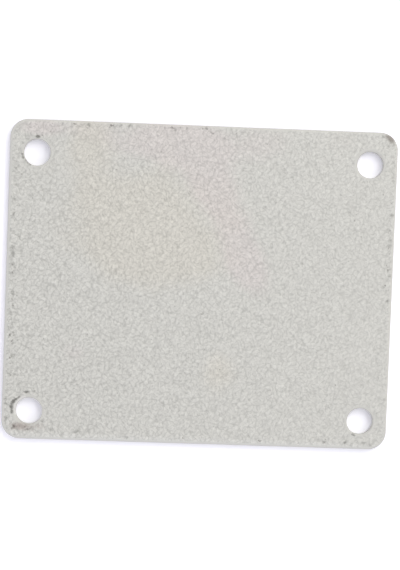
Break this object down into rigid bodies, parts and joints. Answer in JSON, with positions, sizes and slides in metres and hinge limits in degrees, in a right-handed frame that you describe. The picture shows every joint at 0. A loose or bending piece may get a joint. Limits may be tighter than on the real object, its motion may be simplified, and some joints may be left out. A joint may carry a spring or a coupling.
{
  "type": "sewing machine back cover",
  "caption": "Flat rectangular cover plate with rounded corners, a screw hole near each corner and a pale grey textured paint.",
  "frame": {"origin": "middle of the flat back face", "axes": "+X along the plate's width, +Y up its height as the picture shows it, +Z out of the painted outer face"},
  "size_m": [0.074, 0.061, 0.0016],
  "materials": {
    "textured_paint": "fine wrinkle texture, low sheen"
  },
  "bodies": {
    "root": {"back_cover": "textured_paint"}
  },
  "joints": []
}
